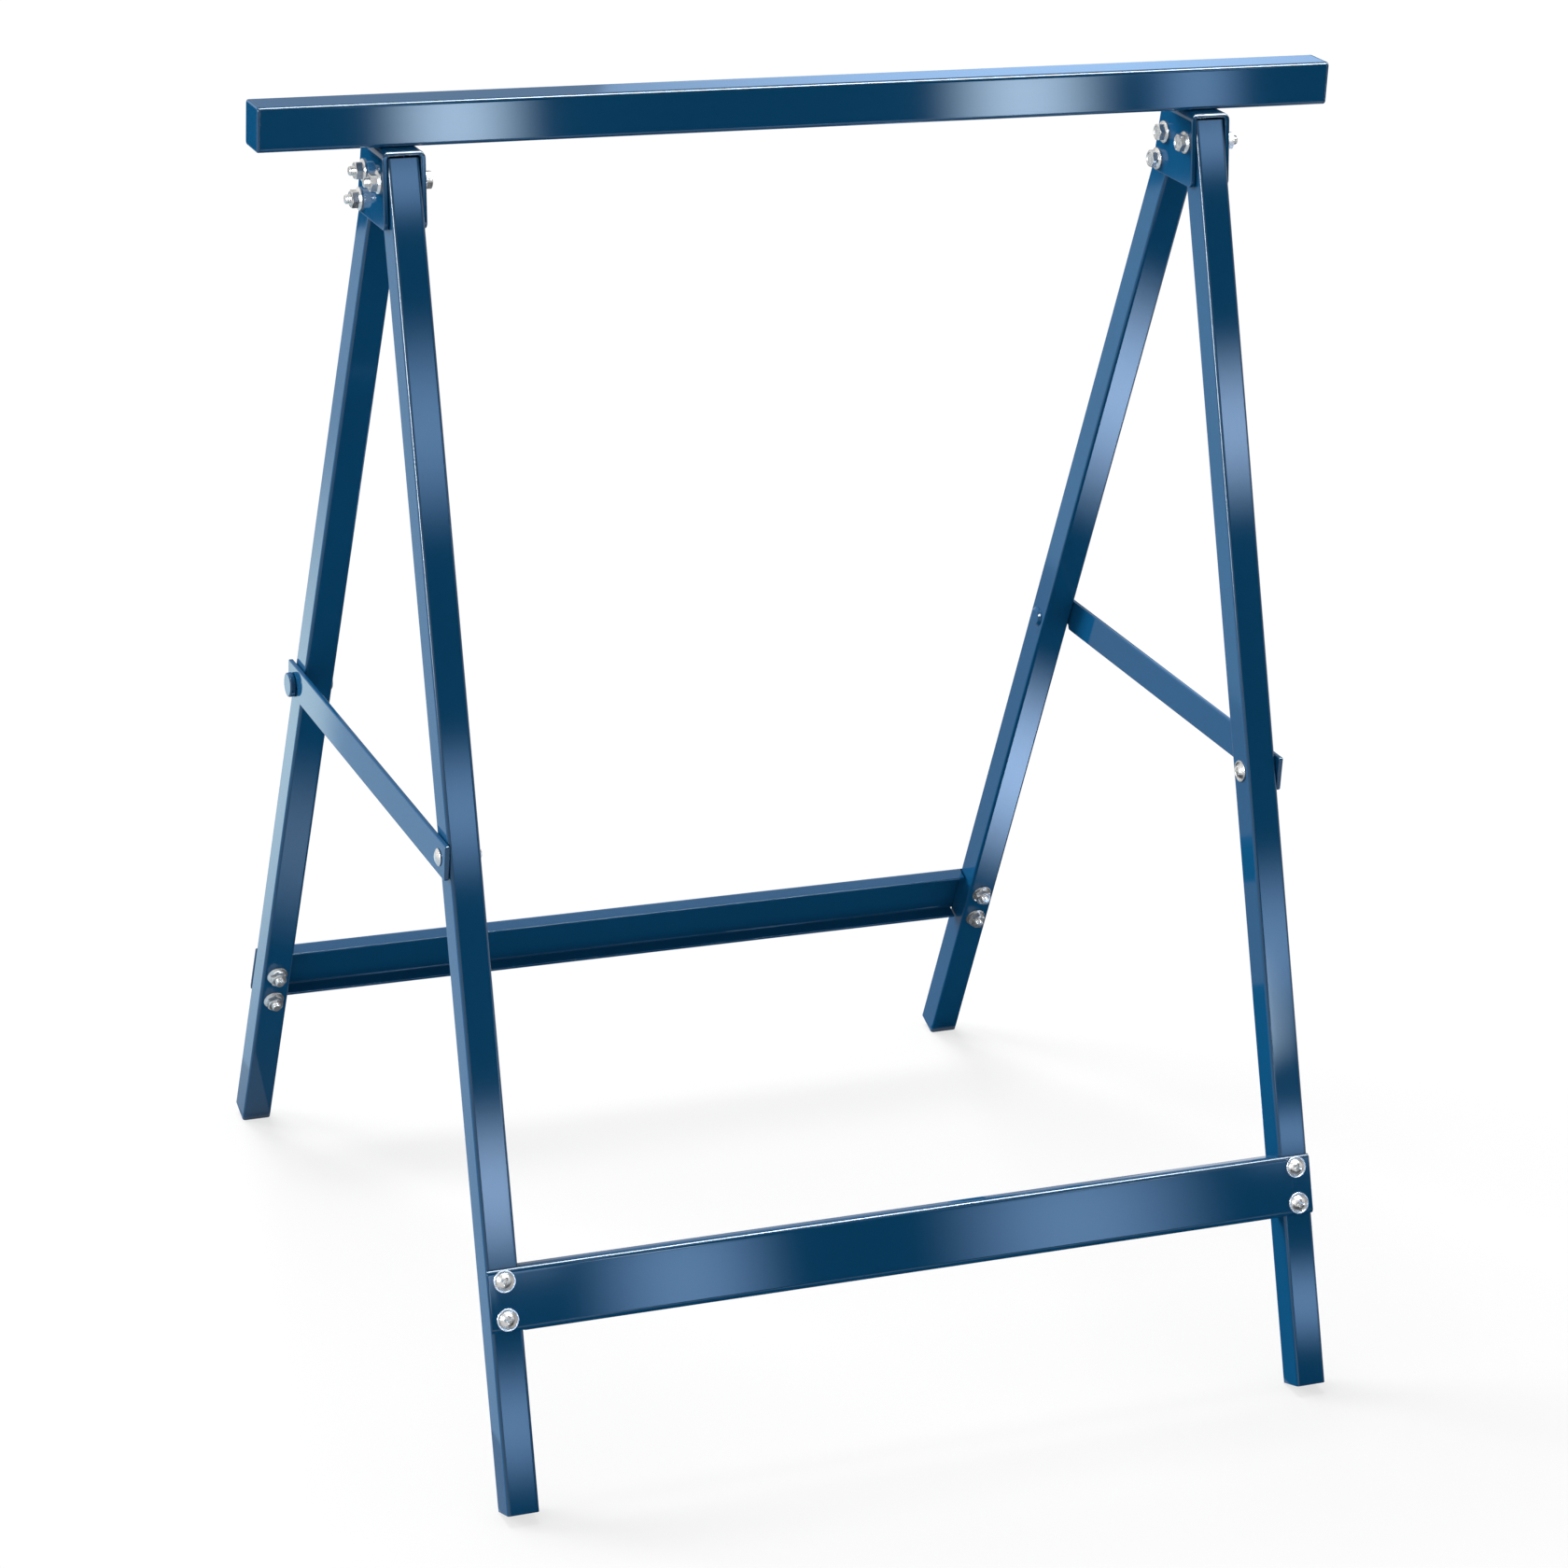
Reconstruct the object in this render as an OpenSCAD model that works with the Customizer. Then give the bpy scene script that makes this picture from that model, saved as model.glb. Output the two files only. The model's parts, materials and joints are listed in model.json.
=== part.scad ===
// Folding builders trestle: a box tube beam carried by two pairs of tube legs.
// The rear legs are bolted fast in the beam's brackets, and the front pair swings on two pivot bolts.
// Two struts on the outer faces of the legs hook over studs and hold the stance open.
// X runs along the beam and Y from front to rear. The origin is on the floor, under the beam's middle.

/* [Beam] */
// Length of the beam over its end plates
beam_len = 700; // [620:1:1200]
// Depth of the beam tube, front to rear
beam_depth = 25; // [20:0.5:40]
// Height of the beam tube
beam_height = 27; // [20:0.5:50]
// Wall of the beam tube
beam_wall = 1.5; // [1:0.1:3]
// Outer corner radius of the beam tube
beam_corner_r = 2.5; // [2:0.1:5]
// Thickness of the plates that close the beam's ends
end_plate_t = 2; // [1:0.1:4]

/* [Stance] */
// Height of the beam's top face above the floor
work_height = 790; // [700:1:1000]
// Lean of each leg from upright, in degrees
leg_angle = 20.2; // [14:0.1:26]
// Distance over the outer faces of the legs, along the beam
leg_span = 548; // [300:1:560]
// Angle through which the front legs close, in degrees
fold_angle = 39; // [20:0.5:39]

/* [Legs] */
// Width of the square leg tube
leg_w = 20; // [18:0.5:25]
// Wall of the leg tube
leg_wall = 1.5; // [1:0.1:2.5]
// Outer corner radius of the leg tube
leg_corner_r = 2; // [1.5:0.1:4]
// Distance from a leg's top bolt to its upper end
leg_head = 12.5; // [10:0.1:16]
// Gap between the upper ends of the front and the rear leg
leg_top_gap = 1.6; // [1:0.1:8]

/* [Brackets] */
// Sheet thickness of the brackets
bracket_t = 3; // [2:0.1:4]
// Inner radius of the bracket's two bends
bracket_bend_r = 2; // [1:0.1:3]
// Distance from the outer bolts to the front and rear edges of a side plate
bracket_margin = 6.3; // [5:0.1:14]
// Distance from the lowest bolt to the lower edge of a side plate
bracket_foot = 8; // [6:0.1:14]
// Radius of the side plates' corners
bracket_corner_r = 4; // [2:0.1:6]
// Distance between the two bolts of a rear leg
leg_bolt_pitch = 20; // [18:0.5:30]

/* [Rails] */
// Height of a rail over its bends
rail_h = 39; // [36:0.5:60]
// Depth of a rail, from its web's outer face to the tips of its flanges
rail_depth = 12; // [8:0.5:16]
// Sheet thickness of the rails
rail_t = 2; // [1.2:0.1:3]
// Inner radius of a rail's bends
rail_bend_r = 1.5; // [1:0.1:3]
// Distance from a leg's foot to the middle of its rail, along the leg
rail_rise = 128; // [60:1:250]
// Distance between a rail end's two screws
rail_screw_pitch = 23; // [16:0.5:24]

/* [Struts] */
// Width of the flat strut bar
strut_w = 22; // [18:0.5:30]
// Thickness of the strut bar
strut_t = 3; // [2:0.1:5]
// Distance from a strut's bolt, or its stud, to the strut's end
strut_end = 11.5; // [9:0.5:20]
// Radius of the strut's corners
strut_corner_r = 1.5; // [1:0.1:6]
// Distance from a leg's foot to the strut, along the leg
strut_rise = 392; // [330:1:500]
// Height of a strut's middle line above its stud
stud_drop = 2.5; // [0:0.5:4]
// Diameter of the stud that a strut hooks over
stud_d = 6; // [5:0.1:9]
// Diameter of the stud's outer head
stud_head_d = 16; // [12:0.1:20]
// Thickness of the stud's outer head
stud_head_t = 3.6; // [2.5:0.1:8]
// Diameter of the stud's riveted inner end
stud_rivet_d = 14; // [11:0.1:18]
// Thickness of the stud's riveted inner end
stud_rivet_t = 2; // [1:0.1:3]

/* [Fasteners] */
// Diameter of every bolt and screw
thread_d = 6; // [5:0.1:7]
// Width across the flats of bolt heads and nuts
hex_af = 10; // [9.5:0.1:12]
// Diameter of the flange on bolt heads and nuts
flange_d = 14; // [13:0.1:18]
// Height of the flange's rim
flange_rim = 1; // [0.5:0.1:1.5]
// Height of the flange where it meets the hexagon
flange_h = 2; // [1.6:0.1:2.5]
// Height of the bolt heads
bolt_head_h = 5.5; // [4:0.1:8]
// Height of the nuts
nut_h = 6; // [4:0.1:8]
// Length of thread that shows past a nut
thread_end = 3.4; // [1:0.1:5]
// Chamfer on hexagons, studs and thread ends
edge_chamfer = 0.6; // [0.2:0.1:1]
// Diameter of the screw heads
screw_head_d = 13.6; // [11:0.1:16]
// Diameter of the dome on a screw head
screw_dome_d = 10.5; // [8:0.1:11]
// Height of a screw head's rim
screw_rim_h = 1; // [0.5:0.1:2]
// Height of a screw head's dome above the rim
screw_dome_h = 2.3; // [1.5:0.1:3]
// Length of each arm of the screws' cross recess, from tip to tip
recess_len = 5.6; // [3:0.1:6]
// Width of the recess arms
recess_w = 1.3; // [0.8:0.1:2]
// Depth of the recess
recess_depth = 1.6; // [0.5:0.1:2]
// Outer diameter of the sleeve nuts that the struts turn on
sleeve_d = 8; // [7.5:0.1:10]
// Diameter of a sleeve nut's domed head
sleeve_head_d = 11; // [10:0.1:14]
// Height of a sleeve nut's domed head
sleeve_head_h = 2.2; // [1.5:0.1:3]
// Metal between a sleeve nut's bore and its head
sleeve_floor = 1; // [0.5:0.1:2]

/* [Clearances] */
// Gap between a leg's side and a bracket plate
side_gap = 0.3; // [0.2:0.05:1]
// Gap between a swinging leg end and the bracket's web
swing_gap = 0.5; // [0.3:0.05:2]
// Gap on each side of a strut, to the leg and to the heads that hold it
strut_gap = 0.4; // [0.3:0.05:1]
// Radial clearance of bolts in the parts that turn on them, and in their nuts
running_gap = 0.05; // [0.01:0.01:0.1]
// Radial clearance of bolts and studs in fixed parts
bolt_gap = 0.2; // [0.1:0.05:0.5]
// Gap between a strut screw's tip and the floor of its sleeve nut
tip_gap = 0.5; // [0.2:0.1:2]
// Clearance all round the stud in a strut's notch
notch_gap = 0.4; // [0.3:0.05:1]
// Gap between a leg's side and the cut ends of the rail flanges
flange_cut_gap = 1; // [0.5:0.1:5]

/* [Hidden] */
$fn = 48;
paint = "#2c5c88";
zinc = "#c4c8cc";
left = -1;
right = 1;
front = -1;
rear = 1;
// Overshoot of cutting shapes past the faces that they cut
over = 1;
// Smallest radius of a tube's inner corners
least_corner_r = 0.3;

// The pivot and the upper rear bolts lie at one level, and the legs meet the floor with their inner edges
beam_base_z = work_height - beam_height;
leg_x = leg_span / 2 - leg_w / 2;
pivot_y = leg_top_gap / 2 + leg_head * sin(leg_angle) + leg_w / 2 * cos(leg_angle);
pivot_z = beam_base_z - bracket_t - norm([leg_head, leg_w / 2]) - swing_gap;
leg_below = (pivot_z - leg_w / 2 * sin(leg_angle)) / cos(leg_angle);
rail_drop = leg_below - rail_rise;
strut_drop = leg_below - strut_rise;
lower_bolt_y = pivot_y + leg_bolt_pitch * sin(leg_angle);
lower_bolt_z = pivot_z - leg_bolt_pitch * cos(leg_angle);

// Half widths of what the bolts clamp, measured from a leg's middle
bracket_half = leg_w / 2 + side_gap + bracket_t;
strut_outside = leg_w / 2 + strut_gap + strut_t + strut_gap;
rail_outside = leg_w / 2 + rail_t;

// As the front legs close, each strut swings up about its bolt until it lies along the leg
strut_ratio = (90 - leg_angle) / fold_angle;
strut_y = pivot_y + strut_drop * sin(leg_angle);
strut_z = pivot_z - strut_drop * cos(leg_angle);
strut_span = 2 * strut_y;
notch_r = stud_d / 2 + notch_gap;

function turn(v, angle) = [v.x * cos(angle) - v.y * sin(angle), v.x * sin(angle) + v.y * cos(angle)];

// Place of the stud along and above its strut, from the strut's bolt, once the legs have closed by an angle
function stud_seen(angle) =
    let (pivot = [-pivot_y, pivot_z], bolt = [-strut_y, strut_z], stud = [strut_y, strut_z])
    turn(turn(stud - pivot, -angle) + pivot - bolt, -strut_ratio * angle);

// Closing angle at which the stud has left the strut, and the straight way that it takes out of the notch
notch_leave = (strut_w + stud_d) / 2 / (strut_y + pivot_y + strut_ratio * strut_span) * 180 / PI;
notch_way = stud_seen(notch_leave) - stud_seen(0);

function unit(v) = v / norm(v);

// Outline with every corner rounded to one radius by a true arc
module rounded_outline(points, r) {
    count = len(points);
    corners = [
        for (i = [0 : count - 1])
        let (
            back = unit(points[(i + count - 1) % count] - points[i]),
            ahead = unit(points[(i + 1) % count] - points[i]),
            half = acos(back * ahead) / 2
        )
        [points[i] + back * r / tan(half), points[i] + ahead * r / tan(half),
         points[i] + unit(back + ahead) * r / sin(half)]
    ];
    polygon([for (corner = corners) each [corner[0], corner[1]]]);
    for (corner = corners) translate(corner[2]) circle(r);
}

module rounded_rect(w, h, r) {
    rounded_outline([[-w / 2, -h / 2], [w / 2, -h / 2], [w / 2, h / 2], [-w / 2, h / 2]], r);
}

module tube_section(w, h, r, wall) {
    difference() {
        rounded_rect(w, h, r);
        rounded_rect(w - 2 * wall, h - 2 * wall, max(r - wall, least_corner_r));
    }
}

// Moves a leg's own frame into place: its origin is the leg's top bolt, its Z runs up the leg
// and its -Y points out of the stance
module at_leg(side, end) {
    mirror([0, end == rear ? 1 : 0, 0])
        translate([side * leg_x, -pivot_y, pivot_z])
            rotate([-leg_angle, 0, 0])
                children();
}

// Turns Z towards the outer side of the trestle
module outwards(side) {
    rotate([0, 90 * side, 0]) children();
}

// Turns Z out through a leg's outer face
module through_rail() {
    rotate([90, 0, 0]) children();
}

module at_rail_screws() {
    for (step = [-0.5, 0.5])
        translate([0, 0, step * rail_screw_pitch - rail_drop]) through_rail() children();
}

module at_leg_bolts() {
    for (drop = [0, leg_bolt_pitch])
        translate([0, 0, -drop]) children();
}

module shank(from, to) {
    translate([0, 0, from]) cylinder(d = thread_d, h = to - from - edge_chamfer);
    translate([0, 0, to - edge_chamfer])
        cylinder(d1 = thread_d, d2 = thread_d - 2 * edge_chamfer, h = edge_chamfer);
}

// Flange with a chamfered hexagon on it, standing on Z = 0
module flanged_hex(h) {
    corner_d = hex_af / cos(30);
    rotate_extrude()
        polygon([[0, 0], [flange_d / 2, 0], [flange_d / 2, flange_rim],
                 [hex_af / 2, flange_h], [0, flange_h]]);
    intersection() {
        cylinder(d = corner_d, h = h, $fn = 6);
        rotate_extrude()
            polygon([[0, 0], [corner_d / 2, 0], [corner_d / 2, h - edge_chamfer],
                     [hex_af / 2 - edge_chamfer / 2, h], [0, h]]);
    }
}

// Bolt along Z with its head under z = from
module flange_bolt(from, to) {
    translate([0, 0, from]) mirror([0, 0, 1]) flanged_hex(bolt_head_h);
    shank(from, to);
}

// Nut that stands on Z = 0
module flange_nut() {
    difference() {
        flanged_hex(nut_h);
        translate([0, 0, -over]) cylinder(r = thread_d / 2 + running_gap, h = nut_h + 2 * over);
    }
}

// Screw along Z with a rimmed dome head on z = head and its tip at z = tip
module dome_screw(head, tip) {
    dome_r = (pow(screw_dome_d / 2, 2) + pow(screw_dome_h, 2)) / (2 * screw_dome_h);
    top = screw_rim_h + screw_dome_h;
    translate([0, 0, head])
        difference() {
            union() {
                cylinder(d = screw_head_d, h = screw_rim_h);
                intersection() {
                    translate([0, 0, top - dome_r]) sphere(dome_r);
                    cylinder(d = screw_dome_d, h = top);
                }
            }
            for (turned = [0, 90])
                rotate(turned)
                    translate([-recess_len / 2, -recess_w / 2, top - recess_depth])
                        cube([recess_len, recess_w, recess_depth + over]);
        }
    mirror([0, 0, 1]) shank(-head, -tip);
}

module cross_bore(r) {
    rotate([0, 90, 0]) cylinder(r = r, h = leg_w + 2 * over, center = true);
}

module leg_tube() {
    translate([0, 0, -leg_below])
        linear_extrude(leg_below + leg_head) tube_section(leg_w, leg_w, leg_corner_r, leg_wall);
}

module rail_bores() {
    at_rail_screws() cylinder(r = thread_d / 2 + bolt_gap, h = leg_w + 2 * (rail_t + over), center = true);
}

module front_leg(side) {
    color(paint) at_leg(side, front) difference() {
        leg_tube();
        cross_bore(thread_d / 2 + running_gap);
        translate([0, 0, -strut_drop]) cross_bore(sleeve_d / 2 + bolt_gap);
        rail_bores();
    }
}

module rear_leg(side) {
    color(paint) at_leg(side, rear) difference() {
        leg_tube();
        at_leg_bolts() cross_bore(thread_d / 2 + bolt_gap);
        translate([0, 0, -strut_drop]) cross_bore(stud_d / 2 + bolt_gap);
        rail_bores();
    }
}

// Inverted U of bent sheet, trapezoid in side view, welded under the beam
module bracket(side) {
    outer_r = bracket_bend_r + bracket_t;
    drop = beam_base_z - lower_bolt_z + bracket_foot;
    top_half = pivot_y + bracket_margin;
    bottom_half = lower_bolt_y + bracket_margin;
    color(paint) translate([side * leg_x, 0, beam_base_z]) difference() {
        intersection() {
            rotate([90, 0, 0])
                linear_extrude(2 * bottom_half, center = true)
                    difference() {
                        translate([0, -drop]) rounded_rect(2 * bracket_half, 2 * drop, outer_r);
                        translate([0, -drop - bracket_t])
                            rounded_rect(leg_w + 2 * side_gap, 2 * drop, bracket_bend_r);
                    }
            rotate([90, 0, 90])
                linear_extrude(2 * bracket_half, center = true)
                    rounded_outline([[-bottom_half, -drop], [bottom_half, -drop],
                                     [top_half, 0], [-top_half, 0]], bracket_corner_r);
        }
        translate([0, -pivot_y, pivot_z - beam_base_z]) bracket_bore();
        translate([0, pivot_y, pivot_z - beam_base_z]) bracket_bore();
        translate([0, lower_bolt_y, lower_bolt_z - beam_base_z]) bracket_bore();
    }
}

module bracket_bore() {
    rotate([0, 90, 0]) cylinder(r = thread_d / 2 + bolt_gap, h = 2 * (bracket_half + over), center = true);
}

// Channel with its web on the legs' outer faces and its flanges cut away where the legs pass
module rail(end) {
    outer_r = rail_bend_r + rail_t;
    leg_cut = leg_w + flange_cut_gap;
    color(paint) at_leg(0, end) difference() {
        translate([0, 0, -rail_drop])
            rotate([90, 0, 90])
                linear_extrude(leg_span, center = true)
                    difference() {
                        translate([rail_depth - rail_outside, 0])
                            rounded_rect(2 * rail_depth, rail_h, outer_r);
                        translate([rail_depth - rail_outside + rail_t, 0])
                            rounded_rect(2 * rail_depth, rail_h - 2 * rail_t, rail_bend_r);
                        translate([rail_depth - rail_outside, -rail_h])
                            square([2 * rail_depth, 2 * rail_h]);
                    }
        for (side = [left, right]) {
            translate([side * (leg_span - leg_cut + over) / 2, 0, -rail_drop])
                translate([0, rail_depth - leg_w / 2, 0])
                    cube([leg_cut + over, 2 * rail_depth, 2 * rail_h], center = true);
            translate([side * leg_x, 0, 0]) rail_bores();
        }
    }
}

// Flat bar that turns on its front sleeve nut and hooks over the rear leg's stud with a slanted notch
module strut(side) {
    color(paint) translate([side * (leg_span / 2 + strut_gap + strut_t / 2), -strut_y, strut_z])
        rotate([90, 0, 90])
            linear_extrude(strut_t, center = true)
                difference() {
                    rotate(asin(stud_drop / strut_span))
                        translate([strut_span / 2, 0])
                            rounded_rect(strut_span + 2 * strut_end, strut_w, strut_corner_r);
                    circle(sleeve_d / 2 + running_gap);
                    translate([strut_span, 0]) {
                        circle(notch_r);
                        rotate(atan2(notch_way.y, notch_way.x))
                            translate([0, -notch_r]) square([norm(notch_way) + stud_d, 2 * notch_r]);
                    }
                }
}

// Headed stud, riveted through the rear leg
module strut_stud(side) {
    head_r = stud_head_d / 2;
    head_end = strut_outside + stud_head_t;
    rivet_r = stud_rivet_d / 2;
    rivet_end = -leg_w / 2 - stud_rivet_t;
    color(paint) at_leg(side, rear) translate([0, 0, -strut_drop]) outwards(side)
        rotate_extrude()
            polygon([
                [0, rivet_end], [rivet_r - stud_rivet_t, rivet_end], [rivet_r, -leg_w / 2],
                [stud_d / 2, -leg_w / 2], [stud_d / 2, strut_outside], [head_r, strut_outside],
                [head_r, head_end - edge_chamfer], [head_r - edge_chamfer, head_end], [0, head_end]
            ]);
}

// Screw with its head on the leg's inner face, driven into the sleeve nut
module strut_screw(side) {
    color(zinc) at_leg(side, front) translate([0, 0, -strut_drop]) outwards(-side)
        dome_screw(leg_w / 2, sleeve_floor + tip_gap - strut_outside);
}

// Sleeve through strut and leg, closed by a domed head outside the strut
module strut_nut(side) {
    dome_r = (pow(sleeve_head_d / 2, 2) + pow(sleeve_head_h, 2)) / (2 * sleeve_head_h);
    bore_h = leg_w / 2 + strut_outside - sleeve_floor;
    color(zinc) at_leg(side, front) translate([0, 0, -strut_drop]) outwards(side)
        difference() {
            union() {
                translate([0, 0, -leg_w / 2]) cylinder(d = sleeve_d, h = leg_w / 2 + strut_outside);
                intersection() {
                    translate([0, 0, strut_outside + sleeve_head_h - dome_r]) sphere(dome_r);
                    translate([0, 0, strut_outside]) cylinder(d = sleeve_head_d, h = sleeve_head_h);
                }
            }
            translate([0, 0, -leg_w / 2 - over])
                cylinder(r = thread_d / 2 + running_gap, h = bore_h + over);
        }
}

module bracket_bolt(side) {
    outwards(side) flange_bolt(-bracket_half, bracket_half + nut_h + thread_end);
}

module bracket_nut(side) {
    outwards(side) translate([0, 0, bracket_half]) flange_nut();
}

module rail_screws(side, end) {
    color(zinc) at_leg(side, end) at_rail_screws()
        dome_screw(rail_outside, -leg_w / 2 - nut_h - thread_end);
}

module rail_nuts(side, end) {
    color(zinc) at_leg(side, end) at_rail_screws()
        mirror([0, 0, 1]) translate([0, 0, leg_w / 2]) flange_nut();
}

module end_plate(side) {
    color(paint) translate([side * (beam_len - end_plate_t) / 2, 0, work_height - beam_height / 2])
        rotate([90, 0, 90])
            linear_extrude(end_plate_t, center = true) rounded_rect(beam_depth, beam_height, beam_corner_r);
}

module top_beam() {
    color(paint) translate([0, 0, work_height - beam_height / 2])
        rotate([90, 0, 90])
            linear_extrude(beam_len - 2 * end_plate_t, center = true)
                tube_section(beam_depth, beam_height, beam_corner_r, beam_wall);
}

module left_end_plate() end_plate(left);
module right_end_plate() end_plate(right);
module left_bracket() bracket(left);
module right_bracket() bracket(right);
module front_left_leg() front_leg(left);
module front_right_leg() front_leg(right);
module rear_left_leg() rear_leg(left);
module rear_right_leg() rear_leg(right);
module front_rail() rail(front);
module rear_rail() rail(rear);
module left_strut() strut(left);
module right_strut() strut(right);
module left_strut_stud() strut_stud(left);
module right_strut_stud() strut_stud(right);
module left_strut_screw() strut_screw(left);
module right_strut_screw() strut_screw(right);
module left_strut_nut() strut_nut(left);
module right_strut_nut() strut_nut(right);
module left_pivot_bolt() color(zinc) at_leg(left, front) bracket_bolt(left);
module right_pivot_bolt() color(zinc) at_leg(right, front) bracket_bolt(right);
module left_pivot_nut() color(zinc) at_leg(left, front) bracket_nut(left);
module right_pivot_nut() color(zinc) at_leg(right, front) bracket_nut(right);
module left_leg_bolts() color(zinc) at_leg(left, rear) at_leg_bolts() bracket_bolt(left);
module right_leg_bolts() color(zinc) at_leg(right, rear) at_leg_bolts() bracket_bolt(right);
module left_leg_nuts() color(zinc) at_leg(left, rear) at_leg_bolts() bracket_nut(left);
module right_leg_nuts() color(zinc) at_leg(right, rear) at_leg_bolts() bracket_nut(right);
module front_left_rail_screws() rail_screws(left, front);
module front_right_rail_screws() rail_screws(right, front);
module rear_left_rail_screws() rail_screws(left, rear);
module rear_right_rail_screws() rail_screws(right, rear);
module front_left_rail_nuts() rail_nuts(left, front);
module front_right_rail_nuts() rail_nuts(right, front);
module rear_left_rail_nuts() rail_nuts(left, rear);
module rear_right_rail_nuts() rail_nuts(right, rear);

top_beam();
left_end_plate();
right_end_plate();
left_bracket();
right_bracket();
front_left_leg();
front_right_leg();
rear_left_leg();
rear_right_leg();
front_rail();
rear_rail();
left_strut();
right_strut();
left_strut_stud();
right_strut_stud();
left_strut_screw();
right_strut_screw();
left_strut_nut();
right_strut_nut();
left_pivot_bolt();
right_pivot_bolt();
left_pivot_nut();
right_pivot_nut();
left_leg_bolts();
right_leg_bolts();
left_leg_nuts();
right_leg_nuts();
front_left_rail_screws();
front_right_rail_screws();
rear_left_rail_screws();
rear_right_rail_screws();
front_left_rail_nuts();
front_right_rail_nuts();
rear_left_rail_nuts();
rear_right_rail_nuts();
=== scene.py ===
import json
import math

import bmesh
import bpy
from mathutils import Matrix, Vector

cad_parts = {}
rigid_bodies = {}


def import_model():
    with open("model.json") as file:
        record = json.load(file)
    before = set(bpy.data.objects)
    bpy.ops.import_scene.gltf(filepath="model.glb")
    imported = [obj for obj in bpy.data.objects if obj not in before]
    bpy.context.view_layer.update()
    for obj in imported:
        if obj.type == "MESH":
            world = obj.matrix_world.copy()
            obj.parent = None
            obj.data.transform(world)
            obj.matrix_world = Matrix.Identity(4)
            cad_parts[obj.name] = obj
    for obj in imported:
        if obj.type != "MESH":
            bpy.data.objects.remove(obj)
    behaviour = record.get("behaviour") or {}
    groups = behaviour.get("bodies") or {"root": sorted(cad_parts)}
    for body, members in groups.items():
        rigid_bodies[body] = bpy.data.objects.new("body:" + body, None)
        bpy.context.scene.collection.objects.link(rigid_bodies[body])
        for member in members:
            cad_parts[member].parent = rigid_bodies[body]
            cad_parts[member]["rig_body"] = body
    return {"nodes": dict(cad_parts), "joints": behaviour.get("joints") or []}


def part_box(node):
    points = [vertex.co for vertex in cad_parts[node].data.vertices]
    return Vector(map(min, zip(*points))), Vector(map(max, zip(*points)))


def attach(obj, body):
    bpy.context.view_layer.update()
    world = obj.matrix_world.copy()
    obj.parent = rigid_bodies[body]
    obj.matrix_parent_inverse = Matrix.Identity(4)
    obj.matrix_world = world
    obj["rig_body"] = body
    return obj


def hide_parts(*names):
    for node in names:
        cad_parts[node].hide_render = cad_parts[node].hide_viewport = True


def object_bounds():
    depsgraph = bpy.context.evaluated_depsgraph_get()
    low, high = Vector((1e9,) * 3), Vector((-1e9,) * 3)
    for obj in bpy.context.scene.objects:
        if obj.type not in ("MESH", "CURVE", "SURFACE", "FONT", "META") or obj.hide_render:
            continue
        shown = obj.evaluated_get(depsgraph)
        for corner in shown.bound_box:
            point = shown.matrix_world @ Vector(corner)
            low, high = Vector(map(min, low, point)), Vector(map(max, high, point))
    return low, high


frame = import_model()
cad_low, cad_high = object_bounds()


# Top beam: a box tube of cold rolled steel that carries the load, closed at each end by a thin plate.
# The plates are welded in, ground flush and rounded at the rim, and the whole frame is enamelled in
# one glossy steel blue, baked on, with the faint ripple that sprayed enamel keeps.

class Wire:
    """A node's socket. Sums and products of wires and numbers add Math nodes to its tree."""

    def __init__(self, tree, socket=None):
        self.tree = tree
        self.socket = socket

    def add(self, kind, settings=None, inputs=None, output=0):
        """Adds any other node: its settings first, then the values or links of its sockets."""
        node = self.tree.nodes.new(kind)
        for name, value in (settings or {}).items():
            if name == "items":
                for _ in range(value - len(node.index_switch_items)):
                    node.index_switch_items.new()
            else:
                setattr(node, name, value)
        for name, value in (inputs or {}).items():
            if isinstance(value, Wire):
                self.tree.links.new(value.socket, node.inputs[name])
            else:
                node.inputs[name].default_value = value
        return Wire(self.tree, node.outputs[output] if node.outputs else None)

    def out(self, name):
        """Another output of the same node."""
        return Wire(self.tree, self.socket.node.outputs[name])

    def math(self, operation, *others):
        return self.add("ShaderNodeMath", {"operation": operation}, dict(enumerate((self, *others))))

    def __add__(self, other):
        return self.math("ADD", other)

    def __sub__(self, other):
        return self.math("SUBTRACT", other)

    def __mul__(self, other):
        return self.math("MULTIPLY", other)

    def __truediv__(self, other):
        return self.math("DIVIDE", other)

    def __rsub__(self, other):
        return self.add("ShaderNodeMath", {"operation": "SUBTRACT"}, {0: other, 1: self})

    def __rtruediv__(self, other):
        return self.add("ShaderNodeMath", {"operation": "DIVIDE"}, {0: other, 1: self})

    __radd__ = __add__
    __rmul__ = __mul__


MIX_COLOUR = {"factor": 0, "a": 6, "b": 7, "result": 2}


def blank_material(name):
    """A new material with an empty tree, and a loose wire to start its nodes from."""
    material = bpy.data.materials.new(name)
    material.use_nodes = True
    material.node_tree.nodes.clear()
    return material, Wire(material.node_tree)


def blend_colours(start, factor, a, b):
    sockets = {MIX_COLOUR["factor"]: factor, MIX_COLOUR["a"]: a, MIX_COLOUR["b"]: b}
    return start.add("ShaderNodeMix", {"data_type": "RGBA"}, sockets, MIX_COLOUR["result"])


def noise(start, place, scale, detail):
    """Soft random patches, about 1 / scale metres across."""
    return start.add("ShaderNodeTexNoise", None, {"Vector": place, "Scale": scale, "Detail": detail})


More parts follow.
